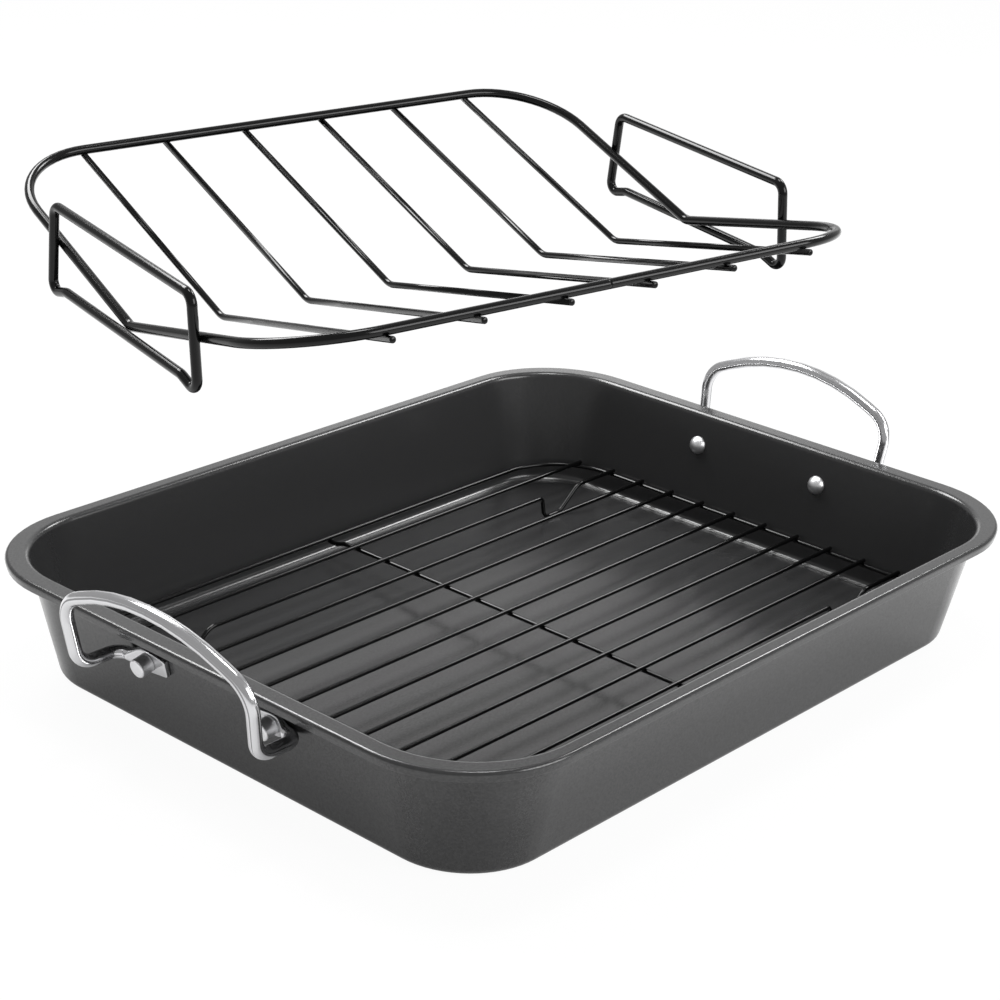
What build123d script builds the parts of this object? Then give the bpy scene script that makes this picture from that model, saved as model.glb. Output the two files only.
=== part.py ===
from build123d import *
from math import atan, cos, radians, sin, sqrt, tan
import os

# Roasting pan with a flat rack on its floor and a V rack that lifts out.
# Millimetres. The origin is the centre of the pan's underside, +X runs along
# the pan's long side, towards one handle, and +Z is up.

# Pan: pressed from one sheet, with a flat flange and a folded-down hem
sheet = 1.2
pan_height = 63.2
rim_length = 430.0
rim_width = 346.0
rim_corner = 59.5
end_flange = 11.4
side_flange = 9.2
mouth_corner = 52.5
end_flare = 23.9
side_flare = 22.1
base_corner = 40.7
floor_bend = 8.0
flange_bend = 1.2
hem_depth = 5.0
hem_bend = 1.2

# Bail handles: one chrome wire each, its two ends flattened into riveted ears
handle_wire = 6.4
handle_reach = 13.0
handle_lean = 9.0
handle_top = 94.0
leg_half_span = 60.2
shoulder_splay = 2.8
shoulder_bend = 16.0
crown_bend = 118.0
crown_angle = 23.5
leg_bend = 9.0
ear_bend = 7.0
ear_root_run = 7.6
neck_length = 5.1
ear_tail = 12.4
ear_thickness = 2.6
ear_height = 12.0
ear_end_height = 9.0
ear_corner = 1.5
ear_edge = 1.0
wall_gap = 0.1
neck_collar = 0.2
neck_collar_bend = 3.2

# Rivets: a domed head inside the pan and a bevelled head on the ear
rivet_height = 44.6
rivet_inset = 5.9
rivet_shank = 5.0
rivet_hole_gap = 0.05
inner_head = 11.0
inner_head_height = 3.2
inner_head_land = 0.8
outer_head = 9.4
outer_head_height = 7.0
outer_head_bevel = 0.9

# Flat rack: a wire frame, one cross wire and twelve long wires in equal bays
rack_wire = 2.4
rack_wires = 12
rack_side_room = 5.95
rack_end_room = 5.6
rack_corner = 40.0
rack_tip = 2.0
rack_level = 15.4
rack_shift_x = 4.0
rack_shift_y = -4.5
rack_tip_round = 0.5
rack_cross_tip = 1.0
rack_cross_step = 5.0
rack_cross_step_run = 7.0
rack_cross_bend = 6.0
weld_bite = 0.2
floor_gap = 0.3

# Feet of the flat rack: the second wire from each side dips to the floor,
# both feet of a wire the same way round, with one steep and one easy flank
foot_inset = 46.0
foot_half_span = 15.5
foot_steep_run = 2.2
foot_easy_run = 15.4
foot_drop_bend = 3.2
foot_heel_bend = 4.6
foot_toe_bend = 11.0
foot_rise_bend = 10.0

# V rack: a heavy frame wire folded to a V, six cross wires and two end loops
v_wire = 4.5
v_cross_wire = 3.0
v_end_room = 63.4
v_side_room = 42.0
v_rail_level = 41.2
v_valley_level = 5.6
v_corner = 43.0
v_valley_bend = 9.0
v_crosses = 6
v_outer_wire_inset = 43.8
v_cross_bend = 12.0
v_cross_tip = 5.5
v_cross_tip_round = 0.7
v_seam_place = 0.8
v_seam = 0.15

# End loops of the V rack, which it stands on
loop_top_half = 62.6
loop_top_level = 41.6
loop_foot_half = 67.3
loop_foot_run = 14.1
loop_bar_level = 4.0
loop_top_bend = 5.5
loop_foot_bend = 4.5
loop_bar_bend = 8.0

# Rest place of the V rack: lifted out, turned and a little tilted, as photographed
v_rack_turn = -12.1
v_rack_tilt = 2.85
v_rack_lean = -1.18
v_rack_x = -64.2
v_rack_y = 3.5
v_rack_z = 205.6

# Worked out from the sizes above
base_length = rim_length - 2 * end_flare
base_width = rim_width - 2 * side_flare
wall_top_length = rim_length - 2 * end_flange + 2 * sheet
wall_top_width = rim_width - 2 * side_flange + 2 * sheet
wall_top_corner = mouth_corner + sheet
wall_slope = (wall_top_length - base_length) / 2 / pan_height
wall_lean = atan(wall_slope)
side_lean = atan((wall_top_width - base_width) / 2 / pan_height)
wall_x = base_length / 2 + wall_slope * rivet_height
neck_width = handle_wire + 2 * neck_collar
ear_x = wall_x + (neck_width / 2 + wall_gap) / cos(wall_lean)
ear_root = leg_half_span - ear_root_run
ear_flat_start = ear_root - neck_length
rivet_half_span = ear_flat_start - rivet_inset
ear_end = rivet_half_span - ear_tail
shoulder_half_span = leg_half_span + shoulder_splay
handle_x = rim_length / 2 + handle_reach
crown_level = handle_top + crown_bend * (1 / cos(radians(crown_angle)) - 1)
shoulder_level = crown_level - shoulder_half_span * tan(radians(crown_angle))
shoulder_x = handle_x + (shoulder_level - rivet_height) * tan(radians(handle_lean))
crown_x = handle_x + (crown_level - rivet_height) * tan(radians(handle_lean))
rack_half_length = base_length / 2 - rack_end_room
rack_half_width = base_width / 2 - rack_side_room
rack_pitch = 2 * rack_half_width / (rack_wires + 1)
frame_level = rack_level - rack_wire + weld_bite
cross_end_level = frame_level - rack_wire + weld_bite
foot_centre = rack_half_length - foot_inset
foot_level = sheet + floor_gap + rack_wire / 2
v_half_length = rim_length / 2 - v_end_room
v_half_width = rim_width / 2 - v_side_room
v_pitch = 2 * (v_half_length - v_outer_wire_inset) / (v_crosses - 1)
v_slope = (v_rail_level - v_valley_level) / v_half_width
v_cross_drop = ((v_wire + v_cross_wire) / 2 - weld_bite) / cos(atan(v_slope))
v_cross_half = v_half_width + v_cross_tip
loop_x = v_half_length + v_wire - weld_bite
loop_bar_half = loop_foot_half - loop_foot_run


def v_rack_direction(direction):
    """A direction of the V rack as it hangs: leant, then tilted, then turned."""
    leant = Vector(direction).rotate(Axis.Y, v_rack_lean)
    return leant.rotate(Axis.X, v_rack_tilt).rotate(Axis.Z, v_rack_turn)


v_rack_place = Plane(
    origin=(v_rack_x, v_rack_y, v_rack_z),
    x_dir=v_rack_direction((1, 0, 0)),
    z_dir=v_rack_direction((0, 0, 1)),
)

os.makedirs("parts", exist_ok=True)


def write_piece(part, name):
    """Label a finished piece and write its file."""
    part.label = name
    export_step(part, f"parts/{name}.step")


def bent_wire(points, bends, diameter, plane=Plane.XY, closed=False):
    """A round wire swept along straight runs joined by bends."""
    with BuildPart() as wire:
        with BuildLine(plane) as route:
            FilletPolyline(*points, radius=bends, close=closed)
        with BuildSketch(Plane(origin=route.line @ 0, z_dir=route.line % 0)):
            Circle(diameter / 2)
        sweep()
    return wire.part


def rounded_tips(wire, radius):
    """Round the two cut ends of an open wire."""
    with BuildPart() as rounded:
        add(wire)
        tips = rounded.faces().filter_by(GeomType.PLANE).sort_by(SortBy.AREA)
        fillet(tips.edges(), radius=radius)
    return rounded.part


def tapered_block(low, high, bend):
    """A block between two rounded outlines, with its lower edge rounded.

    Each outline is its length, width, corner radius and level.
    """
    with BuildPart() as block:
        for length, width, corner, level in (low, high):
            with BuildSketch(Plane.XY.offset(level)):
                RectangleRounded(length, width, corner)
        loft(ruled=True)
        fillet(block.edges().group_by(Axis.Z)[0], radius=bend)
    return block.part


def wall_outline(level, inset):
    """The pan wall's outline at a level, moved inwards square to the wall."""
    rise = level / pan_height
    length = base_length + (wall_top_length - base_length) * rise
    width = base_width + (wall_top_width - base_width) * rise
    corner = base_corner + (wall_top_corner - base_corner) * rise
    end_run = inset / cos(wall_lean)
    side_run = inset / cos(side_lean)
    return (length - 2 * end_run, width - 2 * side_run, corner - inset, level)


def end_wall(side):
    """The outer face of an end wall where the handle is riveted, side 1 or -1."""
    return Plane(
        origin=(side * wall_x, 0, rivet_height),
        x_dir=(0, side, 0),
        z_dir=(side * cos(wall_lean), 0, -sin(wall_lean)),
    )


def rack_end_at(row):
    """Half the length of the flat rack's wire in a row: a tip past the frame."""
    into_corner = max(0, abs(row) - (rack_half_width - rack_corner))
    return rack_half_length - rack_corner + sqrt(rack_corner**2 - into_corner**2) + rack_tip


def handle_ear(side):
    """One ear of the right handle: the wire's neck and a plate flat on the wall."""
    wall = end_wall(1)
    with BuildPart() as ear:
        with BuildSketch(wall) as plate:
            with BuildLine():
                Polyline(
                    (side * ear_flat_start, -ear_height / 2),
                    (side * rivet_half_span, -ear_height / 2),
                    (side * ear_end, -ear_end_height / 2),
                    (side * ear_end, ear_end_height / 2),
                    (side * rivet_half_span, ear_height / 2),
                    (side * ear_flat_start, ear_height / 2),
                    close=True,
                )
            make_face()
            end_corners = plate.vertices().group_by(Axis.X)[0 if side > 0 else -1]
            fillet(end_corners, radius=ear_corner)
        extrude(amount=ear_thickness)
        root_edges = ear.faces().sort_by(Axis.Y)[-1 if side > 0 else 0].edges()
        flats = ear.faces().sort_by(Axis(wall.origin, wall.z_dir))
        fillet((flats[0].edges() + flats[-1].edges()) - root_edges, radius=ear_edge)
        flat_centre = wall.from_local_coords((side * ear_flat_start, 0, ear_thickness / 2))
        with BuildSketch(Plane(origin=flat_centre, x_dir=wall.y_dir, z_dir=(0, side, 0))):
            RectangleRounded(ear_height, ear_thickness, ear_edge)
        wire_centre = (ear_x, side * ear_root, rivet_height)
        with BuildSketch(Plane(origin=wire_centre, x_dir=wall.y_dir, z_dir=(0, side, 0))):
            RectangleRounded(neck_width, neck_width, neck_collar_bend)
        loft()
    return ear.part


def handle_rivets(side):
    """The two rivets of one end: domed head inside, bevelled head on the ear."""
    wall = end_wall(side)
    head_top = ear_thickness + outer_head_height
    with BuildPart() as rivets:
        for place in (-rivet_half_span, rivet_half_span):
            centre = wall.from_local_coords((place, 0, 0))
            with BuildSketch(Plane(origin=centre, x_dir=wall.y_dir, z_dir=wall.y_dir.cross(wall.z_dir))):
                with BuildLine():
                    dome = TangentArc(
                        (0, -sheet - inner_head_height),
                        (inner_head / 2, -sheet - inner_head_land),
                        tangent=(1, 0),
                    )
                    Polyline(
                        dome @ 1,
                        (inner_head / 2, -sheet),
                        (rivet_shank / 2, -sheet),
                        (rivet_shank / 2, ear_thickness),
                        (outer_head / 2, ear_thickness),
                        (outer_head / 2, head_top - outer_head_bevel),
                        (outer_head / 2 - outer_head_bevel, head_top),
                        (0, head_top),
                        dome @ 0,
                    )
                make_face()
            revolve(axis=Axis(centre, wall.z_dir))
    return rivets.part


# Pan body: tapered walls and floor from one sheet, then the flange and hem
with BuildPart() as pan_body:
    add(tapered_block(wall_outline(0, 0), wall_outline(pan_height, 0), floor_bend + sheet))
    add(
        tapered_block(wall_outline(sheet, sheet), wall_outline(pan_height, sheet), floor_bend),
        mode=Mode.SUBTRACT,
    )
    with BuildSketch(Plane.XY.offset(pan_height - sheet)):
        RectangleRounded(rim_length, rim_width, rim_corner)
        RectangleRounded(
            wall_top_length - sheet,
            wall_top_width - sheet,
            wall_top_corner - sheet / 2,
            mode=Mode.SUBTRACT,
        )
    extrude(amount=sheet)
    with BuildSketch(Plane.XY.offset(pan_height - hem_depth)):
        RectangleRounded(rim_length, rim_width, rim_corner)
        RectangleRounded(
            rim_length - 2 * sheet,
            rim_width - 2 * sheet,
            rim_corner - sheet,
            mode=Mode.SUBTRACT,
        )
    extrude(amount=hem_depth)
    rim_face = pan_body.faces().sort_by(Axis.Z)[-1]
    fillet(rim_face.outer_wire().edges(), radius=hem_bend)
    rim_face = pan_body.faces().sort_by(Axis.Z)[-1]
    fillet(rim_face.inner_wires()[0].edges(), radius=flange_bend)
    for side in (-1, 1):
        with BuildSketch(end_wall(side)):
            with Locations((-rivet_half_span, 0), (rivet_half_span, 0)):
                Circle(rivet_shank / 2 + rivet_hole_gap)
        extrude(amount=-2 * sheet, mode=Mode.SUBTRACT)
write_piece(pan_body.part, "pan_body")

# Handles: the bail wire, then at each end a forged neck and a flat ear
with BuildPart() as right_handle:
    with BuildLine() as bail:
        FilletPolyline(
            (ear_x, -ear_root, rivet_height),
            (ear_x, -leg_half_span, rivet_height),
            (handle_x, -leg_half_span, rivet_height),
            (shoulder_x, -shoulder_half_span, shoulder_level),
            (crown_x, 0, crown_level),
            (shoulder_x, shoulder_half_span, shoulder_level),
            (handle_x, leg_half_span, rivet_height),
            (ear_x, leg_half_span, rivet_height),
            (ear_x, ear_root, rivet_height),
            radius=[ear_bend, leg_bend, shoulder_bend, crown_bend, shoulder_bend, leg_bend, ear_bend],
        )
    with BuildSketch(Plane(origin=bail.line @ 0, z_dir=bail.line % 0)):
        Circle(handle_wire / 2)
    sweep()
    for side in (-1, 1):
        add(handle_ear(side))
    with BuildSketch(end_wall(1)):
        with Locations((-rivet_half_span, 0), (rivet_half_span, 0)):
            Circle(rivet_shank / 2 + rivet_hole_gap)
    extrude(amount=ear_thickness, mode=Mode.SUBTRACT)
write_piece(right_handle.part, "right_handle")

with BuildPart() as left_handle:
    mirror(right_handle.part, about=Plane.YZ)
write_piece(left_handle.part, "left_handle")

write_piece(handle_rivets(-1), "left_handle_rivets")
write_piece(handle_rivets(1), "right_handle_rivets")

# Flat rack frame: a closed rounded rectangle of wire
flat_rack_frame = bent_wire(
    [
        (rack_shift_x + x, rack_shift_y + y, frame_level)
        for x, y in (
            (-rack_half_length, -rack_half_width),
            (rack_half_length, -rack_half_width),
            (rack_half_length, rack_half_width),
            (-rack_half_length, rack_half_width),
        )
    ],
    rack_corner,
    rack_wire,
    closed=True,
)
write_piece(flat_rack_frame, "flat_rack_frame")

# Flat rack cross wire: level with the frame, its ends stepped down under the side rails
cross_end_y = rack_half_width + rack_cross_tip
cross_low_y = rack_half_width - rack_cross_step
cross_high_y = cross_low_y - rack_cross_step_run
flat_rack_cross_wire = bent_wire(
    [
        (rack_shift_x, rack_shift_y + y, level)
        for y, level in (
            (-cross_end_y, cross_end_level),
            (-cross_low_y, cross_end_level),
            (-cross_high_y, frame_level),
            (cross_high_y, frame_level),
            (cross_low_y, cross_end_level),
            (cross_end_y, cross_end_level),
        )
    ],
    rack_cross_bend,
    rack_wire,
)
write_piece(flat_rack_cross_wire, "flat_rack_cross_wire")

# Flat rack long wires, from the front to the back: two of them carry the feet
foot_route = []
for centre in (-foot_centre, foot_centre):
    foot_route += [
        (centre - foot_half_span, rack_level),
        (centre - foot_half_span + foot_steep_run, foot_level),
        (centre + foot_half_span - foot_easy_run, foot_level),
        (centre + foot_half_span, rack_level),
    ]
foot_bends = 2 * [foot_drop_bend, foot_heel_bend, foot_toe_bend, foot_rise_bend]
for number in range(1, rack_wires + 1):
    row = number * rack_pitch - rack_half_width
    wire_end = rack_end_at(row)
    if number in (2, rack_wires - 1):
        route = [(-wire_end, rack_level)] + foot_route + [(wire_end, rack_level)]
        points = [(rack_shift_x + x, rack_shift_y + row, level) for x, level in route]
        long_wire = bent_wire(points, foot_bends, rack_wire)
        name = "flat_rack_foot_wire_front" if number == 2 else "flat_rack_foot_wire_back"
    else:
        with BuildPart() as straight:
            with BuildSketch(Plane.YZ.offset(rack_shift_x - wire_end)):
                with Locations((rack_shift_y + row, rack_level)):
                    Circle(rack_wire / 2)
            extrude(amount=2 * wire_end)
        long_wire = straight.part
        name = f"flat_rack_wire_{number:02d}"
    write_piece(rounded_tips(long_wire, rack_tip_round), name)

# V rack frame: one wire bent to a rounded rectangle, folded at its middle, ends butted
v_rack_frame = bent_wire(
    [
        (v_seam_place + v_seam / 2, -v_half_width, v_rail_level),
        (v_half_length, -v_half_width, v_rail_level),
        (v_half_length, 0, v_valley_level),
        (v_half_length, v_half_width, v_rail_level),
        (-v_half_length, v_half_width, v_rail_level),
        (-v_half_length, 0, v_valley_level),
        (-v_half_length, -v_half_width, v_rail_level),
        (v_seam_place - v_seam / 2, -v_half_width, v_rail_level),
    ],
    [v_corner, v_valley_bend, v_corner, v_corner, v_valley_bend, v_corner],
    v_wire,
    plane=v_rack_place,
)
write_piece(v_rack_frame, "v_rack_frame")

# V rack cross wires: bent to the same V and welded under the rails
v_cross_valley = v_valley_level - v_cross_drop
v_cross_level = v_cross_valley + v_slope * v_cross_half
for number in range(1, v_crosses + 1):
    x = (number - (v_crosses + 1) / 2) * v_pitch
    v_rack_wire = bent_wire(
        [(x, -v_cross_half, v_cross_level), (x, 0, v_cross_valley), (x, v_cross_half, v_cross_level)],
        [v_cross_bend],
        v_cross_wire,
        plane=v_rack_place,
    )
    write_piece(rounded_tips(v_rack_wire, v_cross_tip_round), f"v_rack_wire_{number}")

# V rack end loops: closed, on the outer sides of the frame's ends, with a raised bar
for name, x in (("v_rack_end_left", -loop_x), ("v_rack_end_right", loop_x)):
    v_rack_end = bent_wire(
        [
            (x, -loop_top_half, loop_top_level),
            (x, loop_top_half, loop_top_level),
            (x, loop_foot_half, 0),
            (x, loop_bar_half, loop_bar_level),
            (x, -loop_bar_half, loop_bar_level),
            (x, -loop_foot_half, 0),
        ],
        [loop_top_bend, loop_top_bend, loop_foot_bend, loop_bar_bend, loop_bar_bend, loop_foot_bend],
        v_wire,
        plane=v_rack_place,
        closed=True,
    )
    write_piece(v_rack_end, name)
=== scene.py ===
# %% [markdown]
# # A roasting pan with two racks
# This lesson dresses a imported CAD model: a pressed steel pan with two riveted bail handles, a flat
# wire rack on its floor and a V rack that is lifted out above it. The CAD gives every place and
# size, so the lesson is about smooth wire, pressed sheet, chrome and a non-stick coating. Studio
# sizes are in metres. Sizes of the pieces are in millimetres, as on a workshop drawing, and MM turns
# them into metres when a mesh is made.

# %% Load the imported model
from math import acos, atan, atan2, cos, pi, radians, sin, sqrt, tan

import bmesh
import bpy
from mathutils import Matrix, Vector


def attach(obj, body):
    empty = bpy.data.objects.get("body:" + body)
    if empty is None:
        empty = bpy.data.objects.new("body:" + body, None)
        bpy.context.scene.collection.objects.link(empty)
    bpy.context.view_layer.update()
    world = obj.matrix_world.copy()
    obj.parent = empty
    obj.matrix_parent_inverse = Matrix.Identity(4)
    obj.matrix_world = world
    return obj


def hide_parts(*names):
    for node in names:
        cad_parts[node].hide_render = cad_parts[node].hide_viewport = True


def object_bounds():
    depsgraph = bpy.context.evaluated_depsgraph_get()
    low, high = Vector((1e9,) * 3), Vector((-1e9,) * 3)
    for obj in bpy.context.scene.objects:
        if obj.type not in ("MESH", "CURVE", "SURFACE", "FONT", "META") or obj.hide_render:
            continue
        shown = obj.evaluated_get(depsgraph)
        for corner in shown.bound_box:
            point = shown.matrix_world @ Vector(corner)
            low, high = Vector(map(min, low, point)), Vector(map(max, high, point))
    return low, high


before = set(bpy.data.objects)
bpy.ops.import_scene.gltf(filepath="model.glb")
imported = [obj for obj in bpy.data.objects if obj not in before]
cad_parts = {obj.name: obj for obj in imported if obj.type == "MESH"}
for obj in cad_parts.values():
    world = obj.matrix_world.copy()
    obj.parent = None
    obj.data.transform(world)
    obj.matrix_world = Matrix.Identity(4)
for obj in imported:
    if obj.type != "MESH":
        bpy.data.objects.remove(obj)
cad_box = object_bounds()
MM = 0.001
print("CAD nodes:", len(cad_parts), "box", cad_box)

# %% [markdown]
# The camera comes first, because every later choice is judged through it. It was fitted to the
# photograph's rim, base outline and rack crossings: a long lens from the front left, a little above
# the pan, and rolled by two degrees. The lens shift only places the picture in its frame.

# %% Camera
camera_right = Vector((0.67247, -0.73924, 0.03621))
camera_up = Vector((0.25707, 0.27917, 0.92519))
camera_back = Vector((-0.69405, -0.61285, 0.37777))
camera_place = Vector((-0.8087, -0.7170, 0.5251))
focal_share = 2.34504
picture_centre = (0.02385, -0.00854)

camera_data = bpy.data.cameras.new("camera")
camera_data.sensor_width = 36.0
camera_data.sensor_fit = "HORIZONTAL"
camera_data.lens = focal_share * camera_data.sensor_width
camera_data.shift_x = -picture_centre[0]
camera_data.shift_y = picture_centre[1]
camera_data.clip_start = 0.05
camera_data.clip_end = 50.0
camera = bpy.data.objects.new("camera", camera_data)
camera_turn = Matrix((camera_right, camera_up, camera_back)).transposed().to_4x4()
camera.matrix_world = Matrix.Translation(camera_place) @ camera_turn
bpy.context.scene.collection.objects.link(camera)
bpy.context.scene.camera = camera
print("camera lens", round(camera_data.lens, 2), "mm")

# %% [markdown]
# A product photo of dark metal on white needs a white surround more than it needs strong lamps,
# because metal shows its surroundings. A picture of a studio round the scene would do it, but it
# would also bring windows and stands into the chrome, so the world is one plain white. The camera
# sees it at full strength, like a blank wall. As light it has half of that, because a brighter one
# would fill every shadow and turn the black wires grey.

# %% World
surround_seen, surround_light = 1.0, 0.5


def map_range(tree, value, low, high, value_low=0.0, value_high=1.0):
    """A socket that runs from low to high while value runs from value_low to value_high."""
    node = tree.nodes.new("ShaderNodeMapRange")
    node.inputs["From Min"].default_value = value_low
    node.inputs["From Max"].default_value = value_high
    node.inputs["To Min"].default_value = low
    node.inputs["To Max"].default_value = high
    tree.links.new(value, node.inputs["Value"])
    return node.outputs["Result"]


world = bpy.data.worlds.new("studio")
world.use_nodes = True
bpy.context.scene.world = world
sky = world.node_tree
background = sky.nodes["Background"]
background.inputs["Color"].default_value = (1, 1, 1, 1)
rays = sky.nodes.new("ShaderNodeLightPath").outputs
strength = map_range(sky, rays["Is Camera Ray"], surround_light, surround_seen)
sky.links.new(strength, background.inputs["Strength"])
bpy.context.scene.view_settings.view_transform = "Standard"
print("world strength", surround_seen, "to the camera and", surround_light, "as light")

# %% [markdown]
# A studio hangs wide cloth boxes round the object, because a wide source leaves a broad highlight in
# metal and a soft shadow, where a point lamp gives hard specks. Blender's area lamp is such a box.
# The far and the low panel stand where the pan's floor mirrors them to the camera, and so give the
# coat its satin sheen. The back, right and top panels draw the thin highlights along the wires, and
# the front panel lights the pan's long front wall.

# %% Soft panels
PAN_MIDDLE = Vector((0, 0, 0.05))


def soft_panel(name, place, width, height, watts):
    """An area lamp at place that faces the pan."""
    lamp = bpy.data.lights.new(name, "AREA")
    lamp.shape = "RECTANGLE"
    lamp.size = width
    lamp.size_y = height
    lamp.energy = watts
    panel = bpy.data.objects.new(name, lamp)
    bpy.context.scene.collection.objects.link(panel)
    panel.location = place
    panel.rotation_euler = (PAN_MIDDLE - Vector(place)).to_track_quat("-Z", "Y").to_euler()
    print(name, watts, "W")


soft_panel("panel_back", (0.05, 0.98, 1.25), width=0.9, height=0.45, watts=20)
soft_panel("panel_right", (1.11, -0.08, 1.15), width=0.4, height=0.4, watts=9)
soft_panel("panel_top", (0.2, 0.05, 1.7), width=0.4, height=0.4, watts=8)
soft_panel("panel_front", (0.4, -1.6, 0.9), width=1.2, height=0.8, watts=20)
soft_panel("panel_far", (2.1, 1.85, 1.15), width=2.6, height=1.6, watts=6)
soft_panel("panel_low", (2.4, 2.05, 0.92), width=1.0, height=0.35, watts=1.8)

# %% [markdown]
# The pan stands on a large white board. A matt white alone would come out as a light grey beside the
# white world, so the board also glows, and the Light Path node tells which ray looks at it. The
# camera sees almost only the glow, with a faint soft shadow of the pan in it. A mirror sees about a
# third of the glow, so that the chrome keeps some depth. All other light meets plain matt white.

# %% Floor material
FLOOR_WHITE = 0.9
GLOW_SEEN, GLOW_MIRRORED = 0.95, 0.35


def math_node(tree, operation, first, second):
    """The result of a Math node on a socket and a second socket or a plain number."""
    node = tree.nodes.new("ShaderNodeMath")
    node.operation = operation
    tree.links.new(first, node.inputs[0])
    if isinstance(second, float):
        node.inputs[1].default_value = second
    else:
        tree.links.new(second, node.inputs[1])
    return node.outputs[0]


floor_white = bpy.data.materials.new("floor_white")
floor_white.use_nodes = True
tree = floor_white.node_tree
tree.nodes.clear()
out = tree.nodes.new("ShaderNodeOutputMaterial")
mix = tree.nodes.new("ShaderNodeMixShader")
matt = tree.nodes.new("ShaderNodeBsdfDiffuse")
glow = tree.nodes.new("ShaderNodeEmission")
matt.inputs["Color"].default_value = (FLOOR_WHITE, FLOOR_WHITE, FLOOR_WHITE, 1)
glow.inputs["Strength"].default_value = 1.0
rays = tree.nodes.new("ShaderNodeLightPath").outputs
mirrored = math_node(tree, "MULTIPLY", rays["Is Glossy Ray"], GLOW_MIRRORED)
looked_at = math_node(tree, "MAXIMUM", rays["Is Camera Ray"], mirrored)
looked_at = math_node(tree, "MAXIMUM", looked_at, rays["Is Transmission Ray"])
tree.links.new(math_node(tree, "MULTIPLY", looked_at, GLOW_SEEN), mix.inputs["Fac"])
tree.links.new(matt.outputs[0], mix.inputs[1])
tree.links.new(glow.outputs[0], mix.inputs[2])
tree.links.new(mix.outputs[0], out.inputs["Surface"])
print("glow of the floor", GLOW_SEEN, "to the camera,", round(GLOW_SEEN * GLOW_MIRRORED, 2), "in a mirror")

# %% Floor
FLOOR_HALF = 6.0
FLOOR_GAP = 0.0003
CORNER_SIGNS = ((-1, -1), (1, -1), (1, 1), (-1, 1))

floor_corners = [(sx * FLOOR_HALF, sy * FLOOR_HALF, 0) for sx, sy in CORNER_SIGNS]
floor_mesh = bpy.data.meshes.new("floor")
floor_mesh.from_pydata(floor_corners, [], [(0, 1, 2, 3)])
floor_mesh.materials.append(floor_white)
floor = bpy.data.objects.new("floor", floor_mesh)
bpy.context.scene.collection.objects.link(floor)
floor.location.z = cad_box[0][2] - FLOOR_GAP
print("floor", 2 * FLOOR_HALF, "m wide")

# %% [markdown]
# Four finishes cover the whole object. Each starts from the Principled shader, which can be a metal
# or a coating. Painted image textures would need the pieces unwrapped, so what is uneven in a finish
# comes from noise in object space, which runs over every bend and edge without a seam.

# %% Finish makers
GRAIN_DETAIL = 6


def finish(name, colour, metallic, roughness):
    """A new material with its plain values set, and the parts of its node tree."""
    material = bpy.data.materials.new(name)
    material.use_nodes = True
    shader = material.node_tree.nodes["Principled BSDF"]
    shader.inputs["Base Color"].default_value = (*colour, 1)
    shader.inputs["Metallic"].default_value = metallic
    shader.inputs["Roughness"].default_value = roughness
    print("finish", name)
    return material, material.node_tree, shader


def grain(tree, shader, scale, depth, rough_low, rough_high):
    """Fine noise in height and, in place of the plain roughness, in gloss."""
    place = tree.nodes.new("ShaderNodeTexCoord")
    noise = tree.nodes.new("ShaderNodeTexNoise")
    noise.inputs["Scale"].default_value = scale
    noise.inputs["Detail"].default_value = GRAIN_DETAIL
    bump = tree.nodes.new("ShaderNodeBump")
    bump.inputs["Distance"].default_value = depth
    bump.inputs["Strength"].default_value = 1.0
    tree.links.new(place.outputs["Object"], noise.inputs["Vector"])
    tree.links.new(noise.outputs["Fac"], bump.inputs["Height"])
    tree.links.new(bump.outputs["Normal"], shader.inputs["Normal"])
    gloss = map_range(tree, noise.outputs["Fac"], rough_low, rough_high)
    tree.links.new(gloss, shader.inputs["Roughness"])
    return noise.outputs["Fac"]


# %% [markdown]
# The pan's non-stick coat is a dark baked lacquer with fine mica flakes in it. A metal would tint
# its reflections and lose them in the dark colour, so the coat isn't one: it mirrors a little, and
# more at a glancing angle, as a lacquer does. The flakes are noise with grains of a millimetre and
# less. It tips the surface, varies the gloss and, through the specular level, lets some specks shine.

# %% Pan coat
pan_coat, tree, shader = finish("pan_coat", (0.024, 0.024, 0.0245), metallic=0.0, roughness=0.2)
shader.inputs["IOR"].default_value = 1.5
flakes = grain(tree, shader, scale=900, depth=0.00001, rough_low=0.16, rough_high=0.26)
sparkle = map_range(tree, flakes, 0.4, 0.64, value_low=0.35, value_high=0.65)
tree.links.new(sparkle, shader.inputs["Specular IOR Level"])

# %% [markdown]
# The handles are chrome plate, a mirror that is only as even as the rod under it, so its noise is
# coarse and its gloss varies a little. The rivets are plain steel, satin all over, as they come out
# of the tumbling barrel, with a finer grain.

# %% Chrome and rivet steel
chrome, tree, shader = finish("chrome", (0.56, 0.56, 0.57), metallic=1.0, roughness=0.16)
grain(tree, shader, scale=160, depth=0.00002, rough_low=0.13, rough_high=0.2)
rivet_steel, tree, shader = finish("rivet_steel", (0.72, 0.72, 0.73), metallic=1.0, roughness=0.42)
grain(tree, shader, scale=500, depth=0.00001, rough_low=0.38, rough_high=0.46)

# %% [markdown]
# Both racks wear a glossy black coat. On wire a few millimetres thick, noise would only break the
# one thin highlight into specks, so this finish has plain values alone. Its index of refraction is
# lower than a lacquer's, which keeps the wires as dark beside the white as the photograph has them.

# %% Wire coat
wire_coat, tree, shader = finish("wire_coat", (0.002, 0.002, 0.0021), metallic=0.0, roughness=0.15)
shader.inputs["IOR"].default_value = 1.33

# %% [markdown]
# Almost every piece here is bent wire, so the lesson needs one good wire maker. A curve with a round
# bevel would do, but its bends would need handles set by hand. Here the route is given as a bending
# machine is told it, as corners with bend radii. Each bend becomes a fan of short steps. Each long
# straight run gets a station near both ends, so that the shading of a bend can't spread into it.

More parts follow.
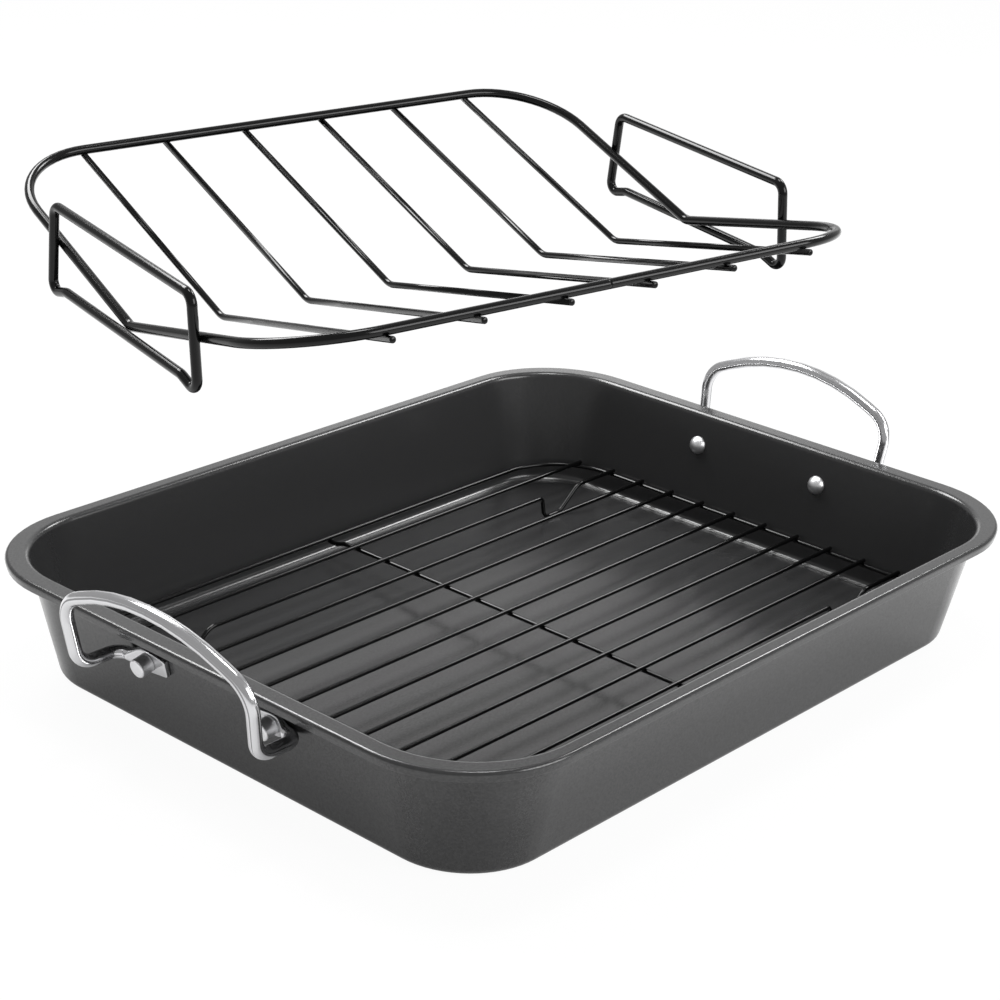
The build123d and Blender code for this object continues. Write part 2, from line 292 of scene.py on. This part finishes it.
# %% Routes of bent wire
BEND_STEP = radians(6)
SUPPORT = 0.6
LONG_RUN = 4 * SUPPORT
STRAIGHT = 0.001


def with_supports(route, closed):
    """Add a station near both ends of each long straight run."""
    full = []
    following = route[1:] + (route[:1] if closed else [])
    for (place, direction), (next_place, next_direction) in zip(route, following):
        full.append((place, direction))
        run = (next_place - place).length
        if run > LONG_RUN and direction.angle(next_direction, 0) < STRAIGHT:
            full.append((place.lerp(next_place, SUPPORT / run), direction))
            full.append((next_place.lerp(place, SUPPORT / run), direction))
    return full if closed else full + route[-1:]


def bent_route(corners, bends, closed=False):
    """Places and directions along straight runs joined by round bends."""
    corners = [Vector(corner) for corner in corners]
    count = len(corners)
    if isinstance(bends, float):
        bends = [bends] * (count if closed else count - 2)
    route = [] if closed else [(corners[0], (corners[1] - corners[0]).normalized())]
    for step, radius in enumerate(bends):
        i = step if closed else step + 1
        before = (corners[i] - corners[i - 1]).normalized()
        after = (corners[(i + 1) % count] - corners[i]).normalized()
        angle = before.angle(after)
        start = corners[i] - before * radius * tan(angle / 2)
        axis = before.cross(after).normalized()
        centre = start + axis.cross(before) * radius
        parts = max(3, round(angle / BEND_STEP))
        for part in range(parts + 1):
            turn = Matrix.Rotation(angle * part / parts, 3, axis)
            route.append((centre + turn @ (start - centre), turn @ before))
    if not closed:
        route.append((corners[-1], (corners[-1] - corners[-2]).normalized()))
    return with_supports(route, closed)


one_bend = bent_route([(0, 0, 0), (20, 0, 0), (20, 20, 0)], 6.0)
print("a wire with one quarter bend has", len(one_bend), "stations")

# %% [markdown]
# A row of rings becomes a piece when neighbouring points of neighbouring rings are joined by faces
# and the two ends are capped. The Skin modifier makes something like it from a line of edges, but it
# swells at the bends, and here the gauge has to hold. Each finished piece rides on the body that its
# joint moves, has a material slot, and names the CAD nodes whose place it takes.

# %% Skins and pieces
def skin(mesh, rings, closed=False):
    """Faces over rings of points that all have the same count."""
    rows = [[mesh.verts.new(Vector(point) * MM) for point in ring] for ring in rings]
    count = len(rows[0])
    pairs = list(zip(rows, rows[1:])) + ([(rows[-1], rows[0])] if closed else [])
    for low, high in pairs:
        for k in range(count):
            n = (k + 1) % count
            mesh.faces.new((low[k], low[n], high[n], high[k]))
    if not closed:
        mesh.faces.new(rows[0][::-1])
        mesh.faces.new(rows[-1])


def piece(name, mesh, material, body, replaced=()):
    """Turn a bmesh into a piece that rides on a body and wears a finish."""
    bmesh.ops.recalc_face_normals(mesh, faces=mesh.faces)
    data = bpy.data.meshes.new(name)
    mesh.to_mesh(data)
    mesh.free()
    data.shade_smooth()
    data.materials.append(material)
    made = bpy.data.objects.new(name, data)
    bpy.context.scene.collection.objects.link(made)
    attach(made, body)
    if replaced:
        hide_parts(*replaced)
    print(name, len(data.polygons), "faces")


# %% [markdown]
# The ring that is carried along a wire keeps its own orientation from station to station, so the
# skin never twists. A cut end is never quite sharp on a coated wire, and its small round edge is
# what catches a glint of light, so a few smaller rings are added at each tip.

# %% Round wire
TIP_ANGLES = [radians(angle) for angle in (90, 60, 30, 0)]


def ring_sides(route):
    """Two directions square to the route at each of its stations, without twist."""
    side = route[0][1].orthogonal().normalized()
    sides = []
    for _, direction in route:
        side = (side - direction * side.dot(direction)).normalized()
        sides.append((side, direction.cross(side)))
    return sides


def circle(centre, first, second, radius, count):
    """Points round a circle, from its first direction towards its second."""
    angles = [2 * pi * k / count for k in range(count)]
    return [centre + (first * cos(angle) + second * sin(angle)) * radius for angle in angles]


def rounded_tip(place, inwards, sides, radius, tip_round):
    """Stations over the round edge of a cut end, from the tip inwards."""
    return [
        (place + inwards * tip_round * (1 - sin(angle)), sides, radius - tip_round * (1 - cos(angle)))
        for angle in TIP_ANGLES
    ]


def wire(mesh, corners, bends, diameter, count, tip_round=0.0, closed=False, place=None):
    """A bent round wire added to a bmesh; place moves it from its own frame."""
    if place is not None:
        corners = [place @ Vector(corner) for corner in corners]
    route = bent_route(corners, bends, closed)
    sides = ring_sides(route)
    radius = diameter / 2
    stations = [(spot, pair, radius) for (spot, _), pair in zip(route, sides)]
    if tip_round:
        (start, ahead), (end, onward) = route[0], route[-1]
        opening = rounded_tip(start, ahead, sides[0], radius, tip_round)
        closing = rounded_tip(end, -onward, sides[-1], radius, tip_round)[::-1]
        stations = opening + stations[1:-1] + closing
    skin(mesh, [circle(spot, *pair, size, count) for spot, pair, size in stations], closed)


def wire_piece(name, body, node, corners, bends, diameter, count, **shape):
    """One coated wire as a piece of its own, in place of one CAD node."""
    mesh = bmesh.new()
    wire(mesh, corners, bends, diameter, count, **shape)
    piece(name, mesh, wire_coat, body, [node])


print("a cut end is rounded by", len(TIP_ANGLES), "rings")

# %% [markdown]
# Where two wires cross they are spot welded, and the coating gathers round the spot in a small
# waisted collar. It is what the eye reads as a joint rather than as two sticks that overlap, so each
# crossing gets one. A metaball or a boolean with a bevel would melt the wires together too, but both
# change the wires. A collar is a skin of its own, with its foot on the lower wire's round, its head
# under the upper wire's round and a narrow waist between them.

# %% Weld collars
COLLAR_SIDES, COLLAR_ROWS = 16, 7
COLLAR_REACH, COLLAR_WAIST = 0.75, 0.3
COLLAR_SINK = 0.1


def square_to(up, direction):
    """What is left of a direction without its share along up."""
    direction = Vector(direction)
    return (direction - up * direction.dot(up)).normalized()


def weld(mesh, low, high):
    """A waisted collar between crossing wires, each given as centre, direction and radius."""
    (low_centre, low_along, low_radius), (high_centre, high_along, high_radius) = low, high
    up = high_centre - low_centre
    gap = up.length
    up.normalize()
    ahead = square_to(up, low_along)
    across = up.cross(ahead)
    high_ahead = square_to(up, high_along)
    high_angle = atan2(high_ahead.dot(across), high_ahead.dot(ahead))
    reach = COLLAR_REACH * min(low_radius, high_radius)
    rings = [[] for _ in range(COLLAR_ROWS)]
    for k in range(COLLAR_SIDES):
        angle = 2 * pi * k / COLLAR_SIDES
        spoke = ahead * cos(angle) + across * sin(angle)
        foot = sqrt(low_radius**2 - (reach * sin(angle)) ** 2) - COLLAR_SINK
        head = gap - sqrt(high_radius**2 - (reach * sin(angle - high_angle)) ** 2) + COLLAR_SINK
        for row, ring in enumerate(rings):
            t = row / (COLLAR_ROWS - 1)
            # a curve from full width to full width, drawn in towards the waist
            radius = reach * ((1 - t) ** 2 + t**2 + 2 * t * (1 - t) * COLLAR_WAIST)
            ring.append(low_centre + up * (foot + (head - foot) * t) + spoke * radius)
    skin(mesh, rings)


print("a collar narrows to", round((1 + COLLAR_WAIST) / 2, 2), "of its width at the waist")

# %% [markdown]
# The flat rack is the kind a wire shop makes: one wire bent to a rounded rectangle and butt welded,
# twelve long wires laid across it, and one more wire under them to stop them sagging. Rows are
# counted from the front, in equal bays. The frame's corners are wide arcs, so a row that lies beside
# one ends earlier than the others, and into_corner works out by how much.

# %% Flat rack sizes
RACK_WIRE = 2.4
RACK_SIDES = 16
rack_x, rack_y = 4.0, -4.5
rack_half_length, rack_half_width, rack_corner = 185.5, 144.95, 40.0
rack_rows = 12
rack_pitch = 2 * rack_half_width / (rack_rows + 1)
long_level, frame_level, low_level = 15.4, 13.2, 11.0
tip_length, tip_round = 2.0, 0.5


def into_corner(row):
    """How far a row lies inside the band of the frame's round corners."""
    return max(0.0, abs(row) - (rack_half_width - rack_corner))


def rack_row(number):
    """A row's distance from the rack's middle, and where the frame's end lies in that row."""
    row = number * rack_pitch - rack_half_width
    return row, rack_half_length - rack_corner + sqrt(rack_corner**2 - into_corner(row) ** 2)


print("rows at", [round(rack_y + rack_row(n)[0], 1) for n in range(1, rack_rows + 1)])

# %% Flat rack frame
frame_corners = [
    (rack_x + sx * rack_half_length, rack_y + sy * rack_half_width, frame_level)
    for sx, sy in CORNER_SIGNS
]
wire_piece("flat_rack_frame_wire", "flat_rack", "flat_rack_frame",
           frame_corners, rack_corner, RACK_WIRE, RACK_SIDES, closed=True)

# %% [markdown]
# The cross wire runs under the long wires at the frame's own level, so its two ends have to step
# down and pass below the frame's side rails. A straight wire would cut through them.

# %% Flat rack cross wire
cross_tip = rack_half_width + 1.0
cross_low = rack_half_width - 5.0
cross_high = rack_half_width - 12.0
cross_step_bend = 6.0
cross_steps = [(-cross_tip, low_level), (-cross_low, low_level), (-cross_high, frame_level)]
cross_steps += [(-y, level) for y, level in reversed(cross_steps)]
cross_route = [(rack_x, rack_y + y, level) for y, level in cross_steps]
wire_piece("flat_rack_middle_wire", "flat_rack", "flat_rack_cross_wire",
           cross_route, cross_step_bend, RACK_WIRE, RACK_SIDES, tip_round=tip_round)

# %% [markdown]
# The second and the eleventh long wire are also the rack's feet. A press kinks each of them twice
# down to the pan's floor, steep on one side and easy on the other, with its own bend radius at each
# of the four corners. The rest are straight, so one loop makes all twelve.

# %% Flat rack long wires
foot_centre, foot_half, foot_steep, foot_easy, foot_level = 139.5, 15.5, 2.2, 15.4, 2.7
foot_bends = [3.2, 4.6, 11.0, 10.0]
foot_dips = []
for centre in (-foot_centre, foot_centre):
    foot_dips += [
        (centre - foot_half, long_level),
        (centre - foot_half + foot_steep, foot_level),
        (centre + foot_half - foot_easy, foot_level),
        (centre + foot_half, long_level),
    ]
for number in range(1, rack_rows + 1):
    row, frame_end = rack_row(number)
    has_feet = number in (2, rack_rows - 1)
    wire_end = frame_end + tip_length
    stops = [(-wire_end, long_level), *(foot_dips if has_feet else ()), (wire_end, long_level)]
    corners = [(rack_x + x, rack_y + row, level) for x, level in stops]
    bends = foot_bends * 2 if has_feet else []
    side = "front" if number == 2 else "back"
    node = f"flat_rack_foot_wire_{side}" if has_feet else f"flat_rack_wire_{number:02d}"
    name = f"flat_rack_foot_wire_{side}_bent" if has_feet else f"flat_rack_long_wire_{number}"
    wire_piece(name, "flat_rack", node, corners, bends, RACK_WIRE, RACK_SIDES, tip_round=tip_round)

# %% Flat rack welds
ALONG_X, ALONG_Y = Vector((1, 0, 0)), Vector((0, 1, 0))


def rack_weld(mesh, x, y, low_z, low_along, high_z, high_along):
    """A collar between two of the flat rack's wires, at a place measured from its middle."""
    low, high = (Vector((rack_x + x, rack_y + y, z)) for z in (low_z, high_z))
    weld(mesh, (low, low_along, RACK_WIRE / 2), (high, high_along, RACK_WIRE / 2))


mesh = bmesh.new()
for number in range(1, rack_rows + 1):
    row, frame_end = rack_row(number)
    lean_in = into_corner(row) / rack_corner
    sy = 1 if row > 0 else -1
    for sx in (-1, 1):
        frame_along = Vector((-sx * sy * lean_in, sqrt(1 - lean_in**2), 0))
        rack_weld(mesh, sx * frame_end, row, frame_level, frame_along, long_level, ALONG_X)
    rack_weld(mesh, 0, row, frame_level, ALONG_Y, long_level, ALONG_X)
for sy in (-1, 1):
    rack_weld(mesh, 0, sy * rack_half_width, low_level, ALONG_Y, frame_level, ALONG_X)
piece("flat_rack_weld_collars", mesh, wire_coat, "flat_rack")

# %% [markdown]
# The V rack starts as one heavy wire bent to a rounded rectangle. Folding it along the middle of its
# short sides makes the V. It is drawn level in its own frame, with its rails along x and its valley
# in the middle, because all its sizes are plain there. One matrix then hangs it as the photograph
# shows it: turned, tilted and a little leant. The wire's two ends meet in the front rail and are
# left a hair apart, since that seam can be seen on the real rack.

# %% V rack sizes and place
V_WIRE, V_CROSS_WIRE = 4.5, 3.0
V_SIDES, V_CROSS_SIDES = 28, 20
v_half_length, v_half_width = 151.6, 131.0
rail_level, valley_level = 41.2, 5.6
v_slope = (rail_level - valley_level) / v_half_width
v_middle = (-64.2, 3.5, 205.6)
v_turn, v_tilt, v_lean = radians(-12.1), radians(2.85), radians(-1.18)
v_place = (
    Matrix.Translation(v_middle)
    @ Matrix.Rotation(v_turn, 4, "Z")
    @ Matrix.Rotation(v_tilt, 4, "X")
    @ Matrix.Rotation(v_lean, 4, "Y")
)
print("V rack rails rise", round(v_slope, 3), "mm per mm")

# %% V rack frame
v_corner, v_valley_bend = 43.0, 9.0
seam_place, seam_gap = 0.8, 0.15
v_corners = [
    (seam_place + seam_gap / 2, -v_half_width, rail_level),
    (v_half_length, -v_half_width, rail_level),
    (v_half_length, 0, valley_level),
    (v_half_length, v_half_width, rail_level),
    (-v_half_length, v_half_width, rail_level),
    (-v_half_length, 0, valley_level),
    (-v_half_length, -v_half_width, rail_level),
    (seam_place - seam_gap / 2, -v_half_width, rail_level),
]
v_bends = [v_corner, v_valley_bend, v_corner] * 2
wire_piece("v_rack_frame_wire", "v_rack", "v_rack_frame",
           v_corners, v_bends, V_WIRE, V_SIDES, place=v_place)

# %% [markdown]
# Six thinner wires are bent to the same V and welded under the two rails, and their tips stand out
# past them. How far they hang below the frame follows from the two gauges, less the bite of the
# weld. It is measured square to the slope, so straight down it comes out a little larger.

# %% V rack cross wires
v_rows, v_pitch = 6, 43.12
v_cross_bend, v_cross_tip, v_tip_round = 12.0, 5.5, 0.7
weld_bite = 0.2
rail_to_cross = (V_WIRE + V_CROSS_WIRE) / 2 - weld_bite
v_cross_half = v_half_width + v_cross_tip
cross_valley = valley_level - rail_to_cross / cos(atan(v_slope))
cross_level = cross_valley + v_slope * v_cross_half


def v_row(number):
    """How far along the rack a cross wire stands from its middle."""
    return (number - (v_rows + 1) / 2) * v_pitch


for number in range(1, v_rows + 1):
    x = v_row(number)
    corners = [(x, -v_cross_half, cross_level), (x, 0, cross_valley), (x, v_cross_half, cross_level)]
    wire_piece(f"v_rack_cross_wire_{number}", "v_rack", f"v_rack_wire_{number}", corners, v_cross_bend,
               V_CROSS_WIRE, V_CROSS_SIDES, tip_round=v_tip_round, place=v_place)

# %% [markdown]
# A closed loop of the same heavy wire is welded to the outside of each end. Its upper side is the
# grip where a hand lifts the rack. Its two lower corners are what it stands on, and the bar between
# them is bent a little up, clear of the flat rack. The outline is given once, and the loop is drawn
# at both ends from it.

# %% V rack end loops
loop_x = v_half_length + V_WIRE - weld_bite
grip_half, grip_level, grip_bend = 62.6, 41.6, 5.5
stand_half, stand_level, stand_bend = 67.3, 0.0, 4.5
bar_half, bar_level, bar_bend = 53.2, 4.0, 8.0
loop_outline = [
    (-grip_half, grip_level),
    (grip_half, grip_level),
    (stand_half, stand_level),
    (bar_half, bar_level),
    (-bar_half, bar_level),
    (-stand_half, stand_level),
]
loop_bends = [grip_bend, grip_bend, stand_bend, bar_bend, bar_bend, stand_bend]
for side, sign in (("left", -1), ("right", 1)):
    corners = [(sign * loop_x, y, level) for y, level in loop_outline]
    wire_piece(f"v_rack_{side}_end_loop", "v_rack", f"v_rack_end_{side}",
               corners, loop_bends, V_WIRE, V_SIDES, closed=True, place=v_place)

# %% V rack welds
def v_placed(centre, along, radius):
    """A wire's centre, direction and radius, moved from the V rack's own frame."""
    return v_place @ Vector(centre), v_place.to_3x3() @ Vector(along), radius


mesh = bmesh.new()
for number in range(1, v_rows + 1):
    for sy in (-1, 1):
        slope_along = Vector((0, 1, sy * v_slope)).normalized()
        off_slope = Vector((0, -slope_along.z, slope_along.y))
        rail = Vector((v_row(number), sy * v_half_width, rail_level))
        below = rail - off_slope * rail_to_cross
        low = v_placed(below, slope_along, V_CROSS_WIRE / 2)
        weld(mesh, low, v_placed(rail, ALONG_X, V_WIRE / 2))
piece("v_rack_weld_collars", mesh, wire_coat, "v_rack")

# %% [markdown]
# The pan is pressed from one sheet, so inside and outside are the same shape one thickness apart. A
# cube with bevels would round everything by one rule, but a press gives every bend its own radius.
# So a profile is given from the floor up the inner wall, over the flange, round the hem and back
# down the outer wall to the base. Each of its corners has its bend radius, and each place on it
# carries half the length, half the width and the corner radius of the pan at that place.

# %% Pan sizes
SHEET = 1.2
rim_half = (215.0, 173.0)
rim_corner, mouth_corner, base_corner = 59.5, 52.5, 40.7
end_flange, side_flange = 11.4, 9.2
pan_height, hem_depth = 63.2, 5.0
base_half = (191.1, 150.9)
mouth_half = (rim_half[0] - end_flange, rim_half[1] - side_flange)
floor_bend, mouth_bend, fold_bend = 3.6, 3.0, 1.8
hem_lean, hem_top_lean = 1.1, 0.3
hem_edge_bend, hem_inner_bend = 0.4, 0.3
floor_start = 16.0
end_slope = (mouth_half[0] + SHEET - base_half[0]) / pan_height
side_slope = (mouth_half[1] + SHEET - base_half[1]) / pan_height
corner_slope = (mouth_corner + SHEET - base_corner) / pan_height
print("pan wall slopes", round(end_slope, 4), round(side_slope, 4))

# %% Pan profile
def wall_stop(level, inset, bend):
    """A profile corner on the wall: half length, half width, corner radius, level and bend."""
    x = base_half[0] + end_slope * level - inset / cos(atan(end_slope))
    y = base_half[1] + side_slope * level - inset / cos(atan(side_slope))
    return (x, y, base_corner + corner_slope * level - inset, level, bend)


def floor_stop(stop):
    """The end of the profile on the flat floor, level with a corner at the wall's foot."""
    x, y, corner, level, _ = stop
    return (x - floor_start, y - floor_start, corner - floor_start, level, 0.0)


def rim_stop(inset, level, bend):
    """A profile corner on the rim."""
    return (rim_half[0] - inset, rim_half[1] - inset, rim_corner - inset, level, bend)


wall_foot_in = wall_stop(SHEET, SHEET, floor_bend)
wall_foot_out = wall_stop(0.0, 0.0, floor_bend + SHEET)
pan_stops = [
    floor_stop(wall_foot_in),
    wall_foot_in,
    (*mouth_half, mouth_corner, pan_height, mouth_bend),
    rim_stop(0.0, pan_height, fold_bend),
    rim_stop(hem_lean, pan_height - hem_depth, hem_edge_bend),
    rim_stop(hem_lean + SHEET, pan_height - hem_depth, hem_edge_bend),
    rim_stop(SHEET + hem_top_lean, pan_height - SHEET, hem_inner_bend),
    wall_stop(pan_height - SHEET, 0.0, mouth_bend - SHEET),
    wall_foot_out,
    floor_stop(wall_foot_out),
]
print("profile corners", len(pan_stops))

# %% [markdown]
# Each bend of the profile is rounded three times, once for the half length, once for the half width
# and once for the corner radius, because the ends and the sides lean by different amounts. The rings
# that come out of it are rounded rectangles, and the pan's skin lies over them from floor to floor.
# Two extra rings hold each long run flat, as the support stations do on the wires.

# %% Bends of the profile
BEND_RINGS = 8


def run_supports(start, end):
    """Two rings near the ends of a straight run of the profile, where the run is long."""
    run = sqrt(sum((a - b) ** 2 for a, b in zip(start, end)))
    if run < LONG_RUN:
        return []
    share = SUPPORT / run
    return [tuple(a + (b - a) * t for a, b in zip(start, end)) for t in (share, 1 - share)]


def rounded_corner(before, corner, after, bend):
    """Points round a bend of the profile, in the plane of one size and the level."""
    ahead = (after - corner).normalized()
    back = (before - corner).normalized()
    half_angle = ahead.angle(back) / 2
    start = corner + back * bend / tan(half_angle)
    end = corner + ahead * bend / tan(half_angle)
    centre = corner + (ahead + back).normalized() * bend / sin(half_angle)
    sweep = (end - centre).angle(start - centre)
    sense = 1 if (start - centre).cross(corner - centre) > 0 else -1
    turns = [Matrix.Rotation(sense * sweep * k / BEND_RINGS, 2) for k in range(BEND_RINGS + 1)]
    return [centre + turn @ (start - centre) for turn in turns]


def bent_profile(stops):
    """Rings along the profile, with every bend rounded in all its sizes at once."""
    rings = [stops[0][:4]]
    for before, here, after in zip(stops, stops[1:], stops[2:]):
        rounded = []
        for size in range(3):
            flat = [Vector((stop[size], stop[3])) for stop in (before, here, after)]
            rounded.append(rounded_corner(*flat, bend=here[4]))
        bent = [(length.x, width.x, corner.x, length.y) for length, width, corner in zip(*rounded)]
        rings += [*run_supports(rings[-1], bent[0]), *bent]
    return [*rings, *run_supports(rings[-1], stops[-1][:4]), stops[-1][:4]]


print("rings of the profile", len(bent_profile(pan_stops)))

# %% Outlines
OUTLINE_STEPS = 16


def corner_arcs(half_x, half_y, corner, steps):
    """The four round corners of a flat rounded rectangle, each as a list of points."""
    arcs = []
    for quarter, (sx, sy) in enumerate(((1, 1), (-1, 1), (-1, -1), (1, -1))):
        middle = Vector((sx * (half_x - corner), sy * (half_y - corner)))
        angles = [pi / 2 * (quarter + k / steps) for k in range(steps + 1)]
        arcs.append([middle + Vector((cos(angle), sin(angle))) * corner for angle in angles])
    return arcs


def pan_outline(half_x, half_y, corner, level):
    """Points round the pan at one place of its profile, its sides cut into even lengths."""
    arcs = corner_arcs(half_x, half_y, corner, OUTLINE_STEPS)
    points = []
    for arc, next_arc in zip(arcs, arcs[1:] + arcs[:1]):
        start, end = arc[-1], next_arc[0]
        share = SUPPORT / (end - start).length
        cuts = [share, *(k / OUTLINE_STEPS for k in range(1, OUTLINE_STEPS)), 1 - share]
        points += arc + [start.lerp(end, cut) for cut in cuts]
    return [(*point, level) for point in points]


print("points round the pan", len(pan_outline(*rim_half, rim_corner, pan_height)))

# %% Pan body
mesh = bmesh.new()
skin(mesh, [pan_outline(*ring) for ring in bent_profile(pan_stops)])
piece("pressed_pan", mesh, pan_coat, "pan", ["pan_body"])

# %% [markdown]
# Each handle is one chromed rod, bent to a bail that leans a little outwards. Its crown is one wide
# bend, so the corner that the crown is bent from lies above the bail's top. The route is given as
# for the wires, from one ear over the crown to the other, and its lower ends stand off the leaning
# wall by the rod's radius and a small clearance.

# %% Handle sizes
HANDLE_WIRE = 6.4
ROD_RADIUS = HANDLE_WIRE / 2
rivet_level, rivet_y = 44.6, 41.6
wall_lean = atan(end_slope)
wall_foot = Vector((base_half[0] + end_slope * rivet_level, 0, rivet_level))
wall_out = Vector((cos(wall_lean), 0, -sin(wall_lean)))
wall_up = Vector((sin(wall_lean), 0, cos(wall_lean)))
rod_clearance = 0.3
rod_stand = ROD_RADIUS + rod_clearance
rod_x = wall_foot.x + rod_stand / cos(wall_lean)
foot_x, bail_lean, bail_top = 228.0, radians(9), 94.0
crown_bend, crown_angle = 118.0, radians(23.5)
crown_level = bail_top + crown_bend * (1 / cos(crown_angle) - 1)
shoulder_y, leg_y, ear_root = 63.0, 60.2, 52.6
shoulder_level = crown_level - shoulder_y * tan(crown_angle)
shoulder_bend, leg_bend, root_bend = 16.0, 9.0, 7.0
print("handle crown", round(crown_level, 1), "shoulders", round(shoulder_level, 1))

# %% Handle route
def bail_x(level):
    """How far out the leaning bail stands at a level."""
    return foot_x + (level - rivet_level) * tan(bail_lean)


half_bail = [
    (rod_x, ear_root, rivet_level),
    (rod_x, leg_y, rivet_level),
    (foot_x, leg_y, rivet_level),
    (bail_x(shoulder_level), shoulder_y, shoulder_level),
]
half_bends = [root_bend, leg_bend, shoulder_bend]
crown = (bail_x(crown_level), 0, crown_level)
bail_corners = [*((x, -y, level) for x, y, level in half_bail), crown, *half_bail[::-1]]
bail_bends = [*half_bends, crown_bend, *half_bends[::-1]]
print("handle corners", len(bail_corners))

# %% [markdown]
# Each foot of the handle is forged: a die squashes the rod to a flat ear, widest at its rivet and
# cut square behind it. Two pieces laid into each other would show a seam, so the handle is one skin
# from ear to ear. Its section is a rounded rectangle whose corner radius is the whole rod in the
# bail and only a small edge in the ear. The list gives that section where it changes, from the round
# root to the squared end.

# %% Forged ears
SECTION_STEPS = 8
ear_thickness = 2.6
ear_edge = 0.8
plate_half = ear_thickness / 2
EAR_STATIONS = [
    # distance from the middle, half height, half thickness, corner radius
    (ear_root, ROD_RADIUS, ROD_RADIUS, ROD_RADIUS),
    (52.0, 3.32, 3.05, 2.9),
    (51.0, 3.6, 2.7, 2.4),
    (50.0, 3.95, 2.35, 2.0),
    (49.0, 4.35, 2.0, 1.6),
    (48.0, 4.8, 1.7, 1.3),
    (47.0, 5.2, 1.45, 1.1),
    (46.0, 5.55, 1.33, 0.95),
    (45.0, 5.8, plate_half, 0.85),
    (43.6, 5.97, plate_half, ear_edge),
    (rivet_y, 6.0, plate_half, ear_edge),
    (39.6, 5.78, plate_half, ear_edge),
    (36.0, 5.33, plate_half, ear_edge),
    (32.5, 4.9, plate_half, ear_edge),
    (30.7, 4.69, plate_half, ear_edge),
    (30.2, 4.6, plate_half, ear_edge),
    (29.8, 4.4, plate_half, 0.75),
    (29.45, 4.0, 1.25, 0.65),
    (29.25, 3.55, 1.05, 0.5),
    (29.2, 3.2, 0.8, 0.4),
]


def forged_ring(centre, up, out, half_up, half_out, corner):
    """A rounded rectangle of points about a centre."""
    arcs = corner_arcs(half_up, half_out, corner, SECTION_STEPS)
    return [centre + up * point.x + out * point.y for arc in arcs for point in arc]


def ear_rings(sign):
    """Rings of one ear from the rod to the square end, on the side sign of the handle."""
    rings = []
    for y, half_up, half_out, corner in EAR_STATIONS:
        share = max(0.0, half_out - plate_half) / (ROD_RADIUS - plate_half)
        off_wall = plate_half + share * (rod_stand - plate_half)
        rise = share * rod_stand * tan(wall_lean)
        centre = wall_foot + wall_out * off_wall + wall_up * rise + Vector((0, sign * y, 0))
        rings.append(forged_ring(centre, wall_up, wall_out, half_up, half_out, corner))
    return rings


print("an ear has", len(EAR_STATIONS), "rings and is", ear_thickness, "mm thick")

# %% Handles
up = wall_up
rod_rings = []
for place, direction in bent_route(bail_corners, bail_bends):
    up = (up - direction * up.dot(direction)).normalized()
    rod_rings.append(forged_ring(place, up, up.cross(direction), ROD_RADIUS, ROD_RADIUS, ROD_RADIUS))
handle_rings = ear_rings(-1)[::-1] + rod_rings[1:-1] + ear_rings(1)
for side, sign in (("left", -1), ("right", 1)):
    mesh = bmesh.new()
    skin(mesh, [[(sign * point.x, point.y, point.z) for point in ring] for ring in handle_rings])
    piece(f"{side}_bail_handle", mesh, chrome, "pan", [f"{side}_handle"])

# %% [markdown]
# The rivets are solid steel. Inside the pan each one ends in a low dome, and outside in a tall round
# head with a flat face, which stands well off the ear. A Screw modifier could spin their profile,
# but its axis would first have to be turned square to the leaning wall. A few rings along that axis
# are as short to write and come out in the same way as every other skin here.

# %% Rivet profile
shank_radius = 2.5
head_radius, head_base, head_face = 4.7, 2.6, 9.6
head_edge, head_foot_edge, head_support = 0.9, 0.2, 0.6
dome_radius, dome_top, dome_land = 5.2, -5.2, -1.6
DOME_STEPS, EDGE_STEPS = 10, 6


def rivet_profile():
    """Radii and places along the axis, from the inner dome's middle to the outer face."""
    rise = dome_land - dome_top
    curve = (dome_radius**2 + rise**2) / (2 * rise)
    fullest = acos((curve - rise) / curve)
    profile = []
    for k in range(1, DOME_STEPS + 1):
        angle = fullest * k / DOME_STEPS
        profile.append((curve * sin(angle), dome_top + curve * (1 - cos(angle))))
    profile += [
        (dome_radius, -SHEET),
        (shank_radius, -SHEET),
        (shank_radius, head_base),
        (head_radius - head_foot_edge, head_base),
        (head_radius, head_base + head_foot_edge),
        (head_radius, head_base + head_foot_edge + head_support),
        (head_radius, head_face - head_edge - head_support),
    ]
    for k in range(EDGE_STEPS + 1):
        angle = pi / 2 * k / EDGE_STEPS
        inset, below = head_edge * (1 - cos(angle)), head_edge * (1 - sin(angle))
        profile.append((head_radius - inset, head_face - below))
    profile.append((head_radius - head_edge - head_support, head_face))
    return profile


print("a rivet is", head_face - dome_top, "mm long with", len(rivet_profile()), "rings")

# %% Rivets
RIVET_SIDES = 48

for side, sign in (("left", -1), ("right", 1)):
    mesh = bmesh.new()
    for sy in (-1, 1):
        rings = []
        for size, along in rivet_profile():
            centre = wall_foot + wall_out * along + ALONG_Y * sy * rivet_y
            ring = circle(centre, wall_up, ALONG_Y, size, RIVET_SIDES)
            rings.append([(sign * point.x, point.y, point.z) for point in ring])
        skin(mesh, rings)
    piece(f"{side}_bail_rivets", mesh, rivet_steel, "pan", [f"{side}_handle_rivets"])
